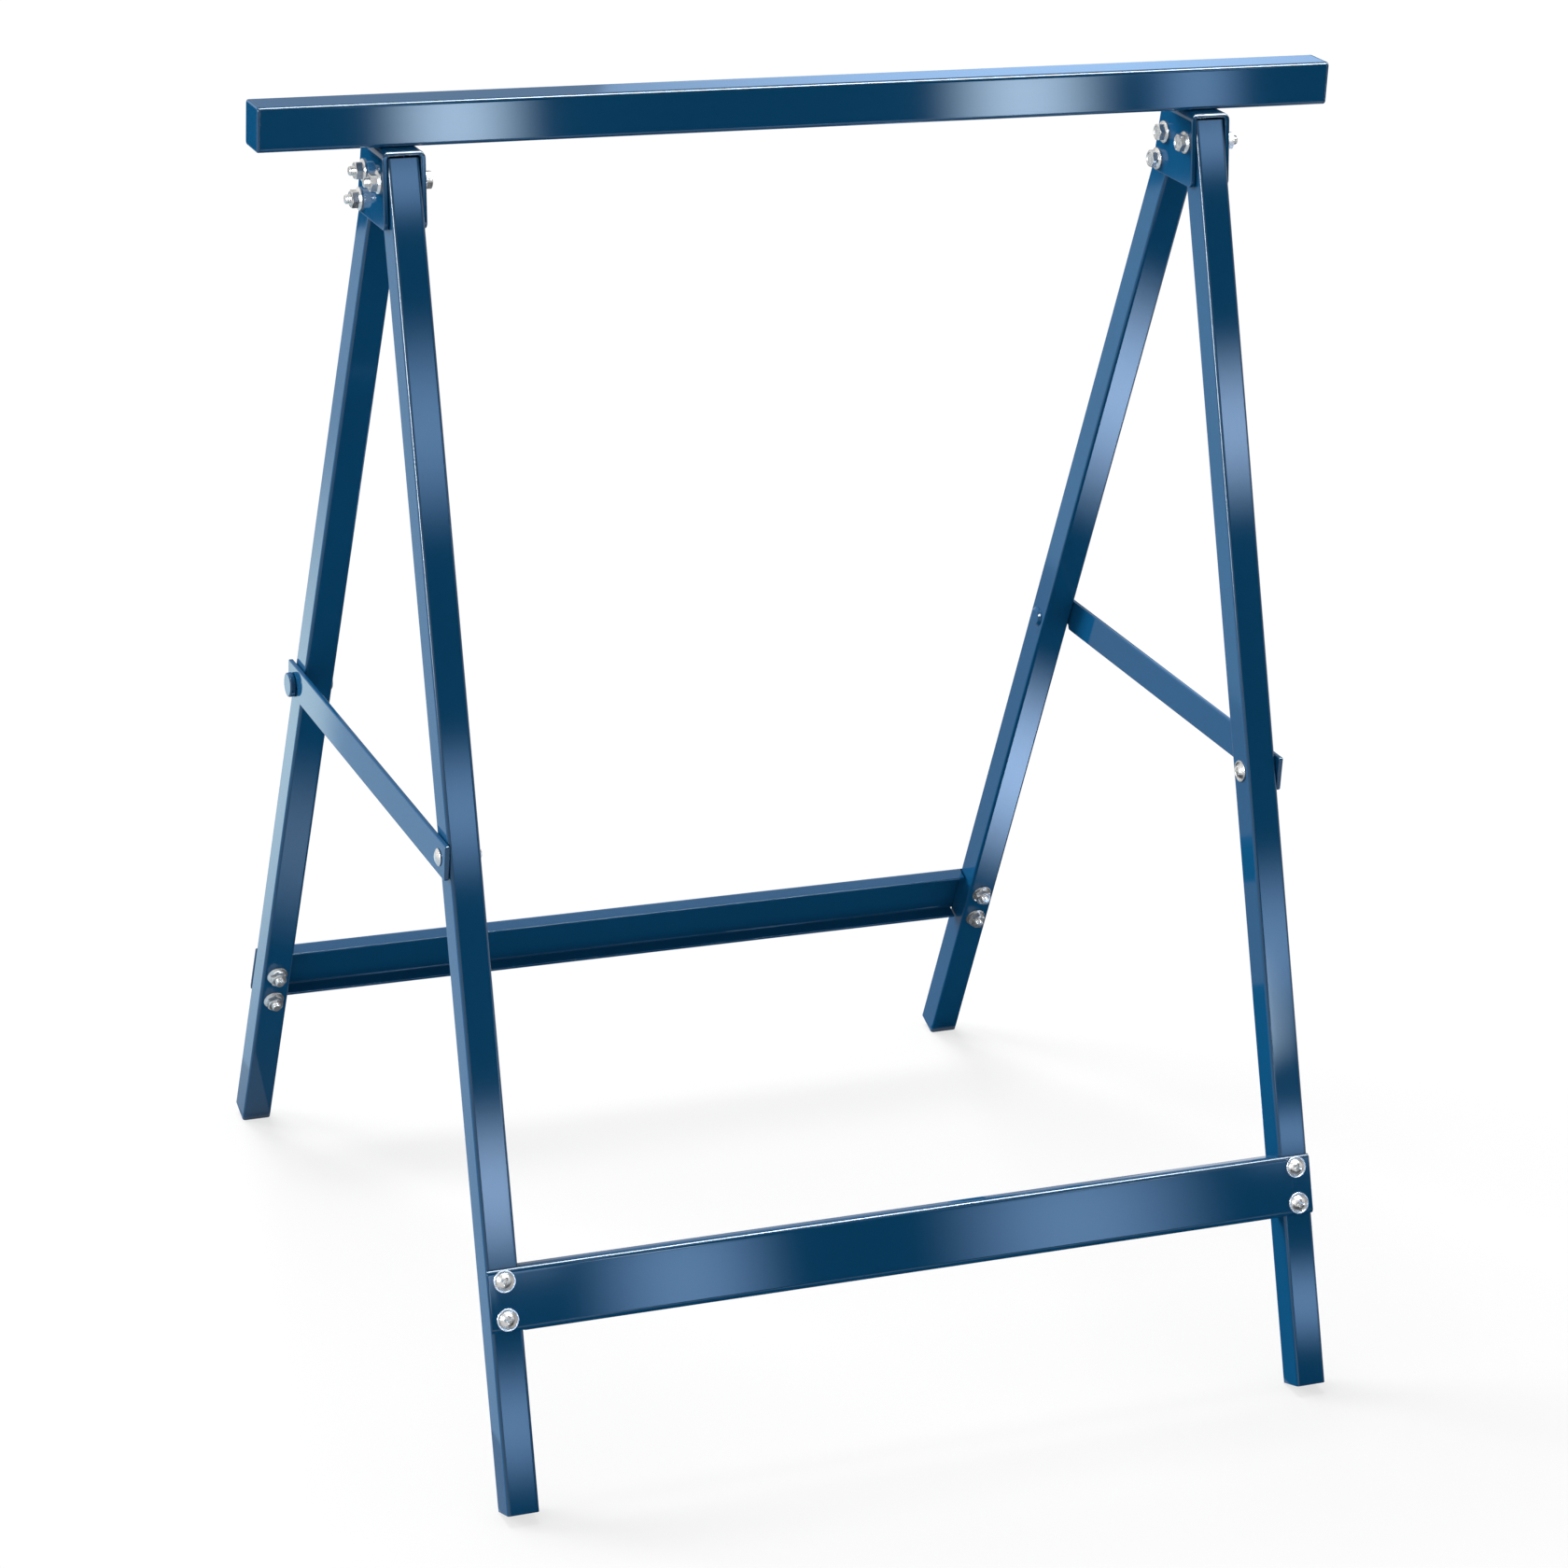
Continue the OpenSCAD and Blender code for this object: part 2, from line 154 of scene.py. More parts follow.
def blue_enamel():
    deep_blue = (0.0024, 0.043, 0.108, 1.0)
    pale_blue = (0.0034, 0.057, 0.142, 1.0)
    material, start = blank_material("blue_enamel")
    place = start.add("ShaderNodeTexCoord", None, None, "Object")
    cloud = noise(start, place, scale=11.0, detail=2.0)
    fleck = noise(start, place, scale=1900.0, detail=1.0)
    peel = noise(start, place, scale=430.0, detail=2.0)
    colour = blend_colours(start, 0.5 * cloud + 0.5 * fleck, deep_blue, pale_blue)
    ripple = start.add("ShaderNodeBump", None, {"Strength": 0.05, "Distance": 0.0004, "Height": peel})
    paint = start.add("ShaderNodeBsdfPrincipled", None, {
        "Base Color": colour, "Roughness": 0.30 + 0.10 * cloud, "Specular IOR Level": 0.0,
        "Coat Weight": 0.85, "Coat Roughness": 0.06, "Normal": ripple,
    })
    start.add("ShaderNodeOutputMaterial", None, {"Surface": paint})
    return material


enamel = blue_enamel()


def dressed(piece, node, material):
    """Puts a finished piece in the place of its CAD node."""
    piece.data.materials.clear()
    piece.data.materials.append(material)
    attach(piece, frame["nodes"][node]["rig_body"])
    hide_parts(node)


def settle(piece):
    """Turns a piece's modifiers into plain mesh."""
    graph = bpy.context.evaluated_depsgraph_get()
    mesh = bpy.data.meshes.new_from_object(piece.evaluated_get(graph), depsgraph=graph)
    piece.modifiers.clear()
    piece.data = mesh


def welded(node):
    """A CAD node's loose triangles as one shell, with its flat faces whole."""
    weld_distance = 1e-6
    flat_angle = math.radians(0.2)
    shell = bmesh.new()
    shell.from_mesh(frame["nodes"][node].data)
    bmesh.ops.remove_doubles(shell, verts=shell.verts, dist=weld_distance)
    bmesh.ops.dissolve_limit(shell, angle_limit=flat_angle, verts=shell.verts, edges=shell.edges)
    return shell


def softened(node, edge_radius, material, rounds=None):
    """A piece like its CAD node, with the sharp edges that rounds(edge) picks rounded off."""
    sharp_angle = math.radians(40)
    round_steps = 4
    shell = welded(node)
    sharp = [e for e in shell.edges if e.is_manifold and e.calc_face_angle() > sharp_angle]
    bmesh.ops.bevel(
        shell, geom=[e for e in sharp if rounds is None or rounds(e)], offset=edge_radius,
        offset_type="OFFSET", segments=round_steps, profile=0.5, affect="EDGES", clamp_overlap=False,
    )
    for face in shell.faces:
        face.smooth = True
    mesh = bpy.data.meshes.new("soft_" + node)
    shell.to_mesh(mesh)
    shell.free()
    if "custom_normal" in mesh.attributes:
        mesh.attributes.remove(mesh.attributes["custom_normal"])
    piece = bpy.data.objects.new("soft_" + node, mesh)
    bpy.context.collection.objects.link(piece)
    weighted = piece.modifiers.new("flat_faces", "WEIGHTED_NORMAL")
    weighted.mode = "FACE_AREA"
    weighted.weight = 100
    settle(piece)
    dressed(piece, node, material)


def enamelled(node, edge_radius, rounds=None):
    softened(node, edge_radius, enamel, rounds)


def in_end_face(edge):
    """True for an edge that lies in one of the beam's two end faces."""
    flush = 1e-5
    return all(abs(corner.co.x) > cad_high.x - flush for corner in edge.verts)


beam = frame["nodes"]["top_beam"]
beam.data.materials.clear()
beam.data.materials.append(enamel)
end_rim_radius = 0.0012
for end in ("left", "right"):
    enamelled(end + "_end_plate", end_rim_radius, in_end_face)


# Brackets: inverted channels of 3 mm sheet, welded under the beam, whose side plates hold the leg tops.
# The sheet is punched and bent, so its edges are broken by hand before painting.

sheet_edge_radius = 0.0007
for side in ("left", "right"):
    enamelled(side + "_bracket", sheet_edge_radius)


# Legs: four square tubes, cut square at both ends and drilled through for the bolts and screws.
# Their long corners are the tube's own rolled radius, and the cut ends are deburred.

tube_end_radius = 0.0004
for leg in ("front_left_leg", "front_right_leg", "rear_left_leg", "rear_right_leg"):
    enamelled(leg, tube_end_radius)


# Rails: shallow channels of bent sheet that tie the legs of each pair together near the floor.
# Their webs lie on the legs' outer faces, and their flanges are cut back to let the legs pass.

rail_edge_radius = 0.0006
shortest_soft_edge = 0.008
for rail in ("front_rail", "rear_rail"):
    enamelled(rail, rail_edge_radius, lambda edge: edge.calc_length() > shortest_soft_edge)


# Struts and studs: flat bars that hold the legs apart, each hooked over a headed stud on the rear leg.
# The studs are riveted through the tube before painting, so they wear the same enamel.

strut_edge_radius = 0.0007
stud_edge_radius = 0.0005
for side in ("left", "right"):
    enamelled(side + "_strut", strut_edge_radius)
    enamelled(side + "_strut_stud", stud_edge_radius)


# Bolts and nuts: M6 flange bolts through the brackets, heads inside and nuts outside, and the flange
# nuts behind the rail screws. All are cold forged steel with rolled threads, bright zinc plated.

hex_width = 0.010
flange_diameter = 0.014
flange_rim = 0.001
flange_height = 0.002
bolt_head_height = 0.0055
nut_height = 0.006
thread_diameter = 0.006
thread_pitch = 0.001
threaded_length = 0.014
forged_edge = 0.00018
rows_per_turn = 6
shank_rows = round(threaded_length / thread_pitch * rows_per_turn) + 1
hexagon_facets = 48


def zinc_plate():
    bright = (0.80, 0.79, 0.77, 1.0)
    dull = (0.40, 0.39, 0.38, 1.0)
    material, start = blank_material("zinc_plate")
    place = start.add("ShaderNodeTexCoord", None, None, "Object")
    bloom = noise(start, place, scale=260.0, detail=3.0)
    grain = noise(start, place, scale=2400.0, detail=2.0)
    colour = blend_colours(start, bloom, dull, bright)
    pits = start.add("ShaderNodeBump", None, {"Strength": 0.25, "Distance": 0.0001, "Height": grain})
    plate = start.add("ShaderNodeBsdfPrincipled", None, {
        "Base Color": colour, "Metallic": 0.85, "Roughness": 0.14 + 0.20 * bloom, "Normal": pits,
    })
    start.add("ShaderNodeOutputMaterial", None, {"Surface": plate})
    return material


zinc = zinc_plate()


def fastener_tree(name, sizes):
    """An empty geometry tree that takes points and the named sizes, and the wires of its inputs."""
    tree = bpy.data.node_groups.new(name, "GeometryNodeTree")
    tree.interface.new_socket("Geometry", in_out="INPUT", socket_type="NodeSocketGeometry")
    for size in sizes:
        tree.interface.new_socket(size, in_out="INPUT", socket_type="NodeSocketFloat")
    tree.interface.new_socket("Finish", in_out="INPUT", socket_type="NodeSocketMaterial")
    tree.interface.new_socket("Geometry", in_out="OUTPUT", socket_type="NodeSocketGeometry")
    entry = tree.nodes.new("NodeGroupInput")
    return tree, {socket.name: Wire(tree, socket) for socket in entry.outputs if socket.name}


def turned(start, facets, rows, profile):
    """A closed surface round the Z axis. profile(angle, row) gives its radius and height as wires."""
    weld_distance = 1e-6
    grid = start.add("GeometryNodeMeshGrid", None, {
        "Size X": 1.0, "Size Y": 1.0, "Vertices X": facets + 1, "Vertices Y": rows,
    })
    across = start.add("ShaderNodeSeparateXYZ", None, {"Vector": start.add("GeometryNodeInputPosition")})
    angle = (across + 0.5) * math.tau
    row = ((across.out("Y") + 0.5) * (rows - 1) + 0.5).math("FLOOR")
    radius, height = profile(angle, row)
    wrapped = start.add("GeometryNodeSetPosition", None, {
        "Geometry": grid,
        "Position": start.add("ShaderNodeCombineXYZ", None, {
            "X": radius * angle.math("COSINE"), "Y": radius * angle.math("SINE"), "Z": height,
        }),
    })
    return start.add("GeometryNodeMergeByDistance", None, {"Geometry": wrapped, "Distance": weld_distance})


def pick(index, values):
    """The value whose place in the list an index gives."""
    sockets = {0: index} | {i + 1: value for i, value in enumerate(values)}
    return index.add("GeometryNodeIndexSwitch", {"data_type": "FLOAT", "items": len(values)}, sockets)


def hexagon(angle, width):
    """Distance from the middle of a hexagon to its side, all the way round."""
    sixth = math.tau / 6
    return 0.5 * width / (angle.math("FLOORED_MODULO", sixth) - sixth / 2).math("COSINE")


def flanged_hexagon(angle, size):
    """Radii and heights up the outside of a flange with a chamfered hexagon on it."""
    chamfer_slope = math.tan(math.radians(30))
    crown_share = 0.47
    corner_share = 0.568
    crown = crown_share * size["Hex width"]
    rim = 0.5 * size["Flange diameter"]
    shoulder = rim - forged_edge
    side = hexagon(angle, size["Hex width"]).math("MINIMUM", corner_share * size["Hex width"])
    slope = (size["Flange height"] - size["Flange rim"]) / (shoulder - 0.5 * size["Hex width"])
    radii = [shoulder, rim, rim, shoulder, side, side, crown]
    heights = [
        0.0, forged_edge, size["Flange rim"] - forged_edge, size["Flange rim"],
        size["Flange rim"] + (shoulder - side) * slope,
        size["Height"] - (side - crown) * chamfer_slope, size["Height"],
    ]
    return radii, heights


def threaded_shank(angle, row, size):
    """Radius and height of a shank that hangs below Z = 0, cut with a thread at its tip."""
    flank_depth = 0.00045
    tip_chamfer = 0.0007
    up = row * (thread_pitch / rows_per_turn)
    ridge = (up / thread_pitch - angle / math.tau).math("FRACT")
    groove = flank_depth * (2.0 * ridge - 1.0).math("ABSOLUTE") * up.math("LESS_THAN", threaded_length)
    full = 0.5 * size["Thread diameter"]
    radius = (full - groove).math("MINIMUM", full - tip_chamfer + up)
    return radius * row.math("GREATER_THAN", 0.5), up - size["Reach"]


def either(test, yes, no):
    sockets = {"Switch": test, "True": yes, "False": no}
    return test.add("GeometryNodeSwitch", {"input_type": "FLOAT"}, sockets)


def headed_shank(angle, row, size, head_radii, head_heights):
    """Radius and height along a threaded shank first, and then up the head on top of it."""
    shank_radius, shank_height = threaded_shank(angle, row, size)
    on_shank = row.math("LESS_THAN", shank_rows - 0.5)
    up_head = (row - shank_rows).math("MAXIMUM", 0.0)
    return (either(on_shank, shank_radius, pick(up_head, head_radii)),
            either(on_shank, shank_height, pick(up_head, head_heights)))


def scattered(tree, points, solid, finish):
    """Sets the solid on every point, its Z along the point's own axis and turned by chance."""
    seed = 7
    random_float = {"low": 2, "high": 3, "seed": 8, "value": 1}
    sharp_angle = math.radians(35)
    angle = solid.add("GeometryNodeInputMeshEdgeAngle")
    creased = solid.add("GeometryNodeSetShadeSmooth", {"domain": "EDGE"}, {
        "Geometry": solid, "Shade Smooth": angle.math("LESS_THAN", sharp_angle),
    })
    axis = solid.add("GeometryNodeInputNamedAttribute", {"data_type": "FLOAT_VECTOR"}, {"Name": "axis"})
    chance = solid.add("FunctionNodeRandomValue", {"data_type": "FLOAT"}, {
        random_float["low"]: 0.0, random_float["high"]: math.tau, random_float["seed"]: seed,
    }, random_float["value"])
    upright = solid.add("FunctionNodeAlignRotationToVector", {"axis": "Z"}, {"Vector": axis})
    spin = solid.add("FunctionNodeAxisAngleToRotation", None, {"Axis": (0.0, 0.0, 1.0), "Angle": chance})
    aimed = solid.add("FunctionNodeRotateRotation", {"rotation_space": "LOCAL"}, {
        "Rotation": upright, "Rotate By": spin,
    })
    copies = solid.add("GeometryNodeInstanceOnPoints", None, {
        "Points": points, "Instance": creased, "Rotation": aimed,
    })
    real = solid.add("GeometryNodeRealizeInstances", None, {"Geometry": copies})
    coated = solid.add("GeometryNodeSetMaterial", None, {"Geometry": real, "Material": finish})
    solid.add("NodeGroupOutput", None, {"Geometry": coated})
    return tree


def nut_tree():
    tree, size = fastener_tree("flange_nut", [
        "Hex width", "Flange diameter", "Flange rim", "Flange height", "Height", "Bore",
    ])
    rows = 11

    def profile(angle, row):
        countersink = 0.0005
        bore = 0.5 * size["Bore"]
        radii, heights = flanged_hexagon(angle, size)
        radii = [bore, *radii, bore + countersink, bore, bore]
        heights = [0.0, *heights, size["Height"], size["Height"] - countersink, 0.0]
        return pick(row, radii), pick(row, heights)

    solid = turned(size["Finish"], hexagon_facets, rows, profile)
    return scattered(tree, size["Geometry"], solid, size["Finish"])


def bolt_tree():
    tree, size = fastener_tree("flange_bolt", [
        "Hex width", "Flange diameter", "Flange rim", "Flange height", "Height", "Thread diameter",
        "Reach",
    ])
    head_rows = 11

    def profile(angle, row):
        dish_depth = 0.0004
        dish_rim = 0.40 * size["Hex width"]
        dish_floor = 0.36 * size["Hex width"]
        radii, heights = flanged_hexagon(angle, size)
        radii = [0.5 * size["Thread diameter"], *radii, dish_rim, dish_floor, 0.0]
        heights = [0.0, *heights, size["Height"], size["Height"] - dish_depth, size["Height"] - dish_depth]
        return headed_shank(angle, row, size, radii, heights)

    solid = turned(size["Finish"], hexagon_facets, shank_rows + head_rows, profile)
    return scattered(tree, size["Geometry"], solid, size["Finish"])


def seats(node, axis, height):
    """Where each solid of a CAD fastener node is seated, and how far its shank reaches below that."""
    turn = Vector((0, 0, 1)).rotation_difference(axis).to_matrix()
    shell = welded(node)
    shell.verts.ensure_lookup_table()
    unseen = set(shell.verts)
    places = []
    reaches = []
    while unseen:
        grown = {unseen.pop()}
        edge_of_growth = list(grown)
        while edge_of_growth:
            linked = {e.other_vert(v) for v in edge_of_growth for e in v.link_edges} - grown
            grown |= linked
            edge_of_growth = list(linked)
        unseen -= grown
        local = [turn.inverted() @ v.co for v in grown]
        low = Vector([min(p[i] for p in local) for i in range(3)])
        high = Vector([max(p[i] for p in local) for i in range(3)])
        middle = (low + high) / 2
        seat = high.z - height
        places.append(turn @ Vector((middle.x, middle.y, seat)))
        reaches.append(seat - low.z)
    shell.free()
    places.sort(key=lambda place: place.z)
    return places, max(reaches)


def plated(node, axis, tree, sizes):
    """Makes the fasteners of one CAD node with a geometry tree, in zinc plate."""
    places, reach = seats(node, axis, sizes["Height"])
    mesh = bpy.data.meshes.new("plated_" + node)
    mesh.from_pydata(places, [], [])
    along = mesh.attributes.new("axis", "FLOAT_VECTOR", "POINT")
    along.data.foreach_set("vector", [x for _ in places for x in axis])
    piece = bpy.data.objects.new("plated_" + node, mesh)
    bpy.context.collection.objects.link(piece)
    maker = piece.modifiers.new(tree.name, "NODES")
    maker.node_group = tree
    for socket in tree.interface.items_tree:
        if socket.in_out == "INPUT" and socket.socket_type == "NodeSocketFloat":
            maker[socket.identifier] = reach if socket.name == "Reach" else sizes[socket.name]
        elif socket.in_out == "INPUT" and socket.socket_type == "NodeSocketMaterial":
            maker[socket.identifier] = zinc
    settle(piece)
    dressed(piece, node, zinc)


joints = {joint["name"]: joint for joint in frame["joints"]}
leg_top = Vector(joints["fold"]["pos_m"])
leg_knee = Vector(joints["left_strut_swing"]["pos_m"])
leg_lean = math.atan2(leg_top.y - leg_knee.y, leg_top.z - leg_knee.z)
out_of = {
    "left": Vector((-1, 0, 0)), "right": Vector((1, 0, 0)),
    "front": Vector((0, -math.cos(leg_lean), math.sin(leg_lean))),
    "rear": Vector((0, math.cos(leg_lean), math.sin(leg_lean))),
}
forged = {
    "Hex width": hex_width, "Flange diameter": flange_diameter, "Flange rim": flange_rim,
    "Flange height": flange_height, "Thread diameter": thread_diameter, "Bore": thread_diameter,
}
nut = nut_tree()
bolt = bolt_tree()
for side in ("left", "right"):
    for group in ("pivot_bolt", "leg_bolts"):
        plated(f"{side}_{group}", -out_of[side], bolt, forged | {"Height": bolt_head_height})
    for group in ("pivot_nut", "leg_nuts"):
        plated(f"{side}_{group}", out_of[side], nut, forged | {"Height": nut_height})
    for end in ("front", "rear"):
        plated(f"{end}_{side}_rail_nuts", -out_of[end], nut, forged | {"Height": nut_height})


# Dome head screws: they fix the rails, and the struts' sleeve nuts from inside. The head is a low dome
# in a broad pressed rim, with a cross recess. The sleeve nuts are turned, with a smooth domed head
# outside the strut, and both wear the same zinc plate as the nuts.

screw_head_diameter = 0.0136
screw_rim_height = 0.0010
screw_dome_diameter = 0.0105
screw_dome_height = 0.0023
recess_length = 0.0056
recess_width = 0.0017
recess_depth = 0.0020
sleeve_edge_radius = 0.0003


def screw_tree():
    tree, size = fastener_tree("dome_screw", [
        "Head diameter", "Rim height", "Dome diameter", "Dome height", "Recess length", "Recess width",
        "Recess depth", "Thread diameter", "Reach",
    ])
    dome_steps = 6
    head_rows = dome_steps + 10
    dome_facets = 72

    def cross(angle):
        """Distance from the middle of the cross recess to its edge, all the way round."""
        quarter = math.tau / 4
        least_sine = 1e-4
        off_arm = (angle + quarter / 2).math("FLOORED_MODULO", quarter) - quarter / 2
        tip = 0.5 * size["Recess length"] / off_arm.math("COSINE")
        sine = off_arm.math("SINE").math("ABSOLUTE").math("MAXIMUM", least_sine)
        return tip.math("MINIMUM", 0.5 * size["Recess width"] / sine)

    def profile(angle, row):
        pit = 0.0003
        groove = 0.0008
        recess_taper = 0.72
        rim = 0.5 * size["Head diameter"]
        foot = 0.5 * size["Dome diameter"] - groove
        ball = (foot * foot + size["Dome height"] * size["Dome height"]) / (2.0 * size["Dome height"])
        opening = cross(angle)
        dome_radii = [foot + (opening - foot) * (i / dome_steps) for i in range(dome_steps + 1)]
        dome_heights = [
            (ball * ball - r * r).math("SQRT") - ball + size["Dome height"] + size["Rim height"]
            for r in dome_radii
        ]
        recess_floor = size["Rim height"] + size["Dome height"] - size["Recess depth"]
        radii = [
            0.5 * size["Thread diameter"], rim - forged_edge, rim, rim, rim - forged_edge,
            foot + 2.0 * groove, foot + groove, *dome_radii, opening * recess_taper, 0.0,
        ]
        heights = [
            0.0, 0.0, forged_edge, size["Rim height"] - forged_edge, size["Rim height"],
            size["Rim height"], size["Rim height"] - groove, *dome_heights,
            recess_floor, recess_floor - pit,
        ]
        return headed_shank(angle, row, size, radii, heights)

    solid = turned(size["Finish"], dome_facets, shank_rows + head_rows, profile)
    return scattered(tree, size["Geometry"], solid, size["Finish"])


pressed = {
    "Head diameter": screw_head_diameter, "Rim height": screw_rim_height,
    "Dome diameter": screw_dome_diameter, "Dome height": screw_dome_height,
    "Recess length": recess_length, "Recess width": recess_width, "Recess depth": recess_depth,
    "Thread diameter": thread_diameter, "Height": screw_rim_height + screw_dome_height,
}
screw = screw_tree()
for side in ("left", "right"):
    plated(f"{side}_strut_screw", -out_of[side], screw, pressed)
    softened(f"{side}_strut_nut", sleeve_edge_radius, zinc)
    for end in ("front", "rear"):
        plated(f"{end}_{side}_rail_screws", out_of[end], screw, pressed)


# Camera: a long lens, a little above the beam and to the left of the trestle, tipped slightly to one
# side. It stands back from its target by its azimuth and elevation, and its focal length is given in
# the pixels of a square picture.

camera_azimuth = math.radians(23.20)
camera_elevation = math.radians(21.38)
camera_roll = math.radians(2.93)
camera_distance = 2.8854
camera_target = Vector((0.0059, 0.0, 0.3305))
picture_width = 1680
focal_pixels = 4802.8
sensor_width = 36.0
farthest_seen = 100.0

back = Vector((
    -math.sin(camera_azimuth) * math.cos(camera_elevation),
    -math.cos(camera_azimuth) * math.cos(camera_elevation),
    math.sin(camera_elevation),
))
level_right = (-back).cross(Vector((0, 0, 1))).normalized()
level_up = level_right.cross(-back)
camera_right = math.cos(camera_roll) * level_right + math.sin(camera_roll) * level_up
camera_up = back.cross(camera_right)
camera_axes = Matrix((camera_right, camera_up, back)).transposed().to_4x4()
camera = bpy.data.objects.new("camera", bpy.data.cameras.new("camera"))
camera.data.sensor_width = sensor_width
camera.data.lens = sensor_width * focal_pixels / picture_width
camera.data.clip_end = farthest_seen
camera.matrix_world = Matrix.Translation(camera_target + back * camera_distance) @ camera_axes
bpy.context.collection.objects.link(camera)
bpy.context.scene.camera = camera


# Floor and sky: a pale seamless floor under an even sky, both white to the eye and in the gloss. The
# floor is part matt and part glowing, so that it keeps the trestle's shadow and still looks white.

across = Vector((1, 0, 0))
inward = Vector((0, 1, 0))
upright = Vector((0, 0, 1))
white = (1.0, 1.0, 1.0, 1.0)
floor_grey = (0.47, 0.47, 0.47, 1.0)
floor_size = 60.0
ambient = 0.66
shadow_share = 0.30


def seen_directly(start):
    """1 where the camera, a gloss or a clear thing looks at the surface, and 0 where it only lights."""
    path = start.add("ShaderNodeLightPath", None, None, "Is Camera Ray")
    seen = path.math("MAXIMUM", path.out("Is Glossy Ray"))
    return seen.math("MAXIMUM", path.out("Is Transmission Ray"))


world = bpy.data.worlds.new("studio")
world.use_nodes = True
world.node_tree.nodes.clear()
sky = Wire(world.node_tree)
sky_light = sky.add("ShaderNodeMixShader", None, {
    0: seen_directly(sky),
    1: sky.add("ShaderNodeBackground", None, {"Color": white, "Strength": ambient}),
    2: sky.add("ShaderNodeBackground", None, {"Color": white, "Strength": 1.0}),
})
sky.add("ShaderNodeOutputWorld", None, {"Surface": sky_light})
bpy.context.scene.world = world


def staged_sheet(name, middle, wide, high, width, height, material):
    """A flat rectangle of the studio, given by its middle and the directions of its two sides."""
    mesh = bpy.data.meshes.new(name)
    mesh.from_pydata([(-1, -1, 0), (1, -1, 0), (1, 1, 0), (-1, 1, 0)], [], [(0, 1, 2, 3)])
    mesh.materials.append(material)
    sheet = bpy.data.objects.new(name, mesh)
    axes = Matrix((wide, high, wide.cross(high))).transposed().to_4x4()
    half_size = Matrix.Diagonal((width / 2, height / 2, 1, 1))
    sheet.matrix_world = Matrix.Translation(middle) @ axes @ half_size
    bpy.context.collection.objects.link(sheet)
    return sheet


floor_paint, start = blank_material("pale_floor")
matt = start.add("ShaderNodeBsdfDiffuse", None, {"Color": floor_grey})
glow = start.add("ShaderNodeEmission", None, {"Color": white, "Strength": 1.0})
floor_look = start.add("ShaderNodeMixShader", None, {
    0: (1.0 - shadow_share) * seen_directly(start), 1: matt, 2: glow,
})
start.add("ShaderNodeOutputMaterial", None, {"Surface": floor_look})
staged_sheet("floor", Vector((0, 0, 0)), across, inward, floor_size, floor_size, floor_paint)


# Lamps: two broad, far lamps behind the trestle, one low on the left and one overhead. They light the
# matt part of every colour and cast the soft shadow, and the gloss doesn't show them.

def soft_lamp(name, source, brightness):
    """A lamp far off towards its source, broad enough for soft shadow edges."""
    breadth = math.radians(30)
    lamp = bpy.data.objects.new(name, bpy.data.lights.new(name, "SUN"))
    lamp.data.angle = breadth
    lamp.data.energy = brightness * math.pi
    lamp.matrix_world = source.to_track_quat("Z", "Y").to_matrix().to_4x4()
    lamp.visible_camera = False
    lamp.visible_glossy = False
    bpy.context.collection.objects.link(lamp)


soft_lamp("side_lamp", source=Vector((-0.75, 0.57, 0.33)), brightness=1.45)
soft_lamp("top_lamp", source=Vector((-0.08, 0.43, 0.90)), brightness=1.20)


# Cloths: dark and pale sheets that stand or lie where the gloss of the faces looks, as in a photo
# studio. The dark ones keep the front faces deep blue, and the pale ones lighten the left sides and
# the beam's top. Only the gloss sees them.

def gloss_sheet(name, middle, wide, high, width, height, material):
    """A sheet of the studio that shows in the gloss and nowhere else."""
    sheet = staged_sheet(name, middle, wide, high, width, height, material)
    sheet.visible_camera = False
    sheet.visible_diffuse = False
    sheet.visible_transmission = False
    sheet.visible_volume_scatter = False
    sheet.visible_shadow = False


def facing_sheet(name, place, target, along, width, height, material):
    """A gloss sheet that faces a target, with its width along a direction."""
    facing = (target - place).normalized()
    level = (along - along.dot(facing) * facing).normalized()
    gloss_sheet(name, place, level, facing.cross(level), width, height, material)


def gloss_of(point, normal):
    """The direction in which the camera sees past a point of a face, by way of its gloss."""
    return (point - camera.matrix_world.translation).normalized().reflect(normal)


def cloth(name, colour):
    material, start = blank_material(name)
    light = start.add("ShaderNodeEmission", None, {"Color": colour, "Strength": 1.0})
    start.add("ShaderNodeOutputMaterial", None, {"Surface": light})
    return material


dark_cloth = cloth("dark_cloth", (0.003, 0.012, 0.022, 1.0))
mid_cloth = cloth("mid_cloth", (0.42, 0.42, 0.42, 1.0))
pale_cloth = cloth("pale_cloth", (0.66, 0.84, 1.00, 1.0))

beam_low, beam_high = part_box("top_beam")
beam_middle = (beam_low + beam_high) / 2
beam_front = Vector((0, beam_low.y, beam_middle.z))
leg_low, leg_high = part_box("front_right_leg")
leg_front = Vector((0, (leg_top.y + leg_low.y) / 2, leg_top.z / 2))
beam_flag_away = 3.4
beam_flag_lift = 0.005
leg_flag_away = 2.2
top_sheet_away = 2.6

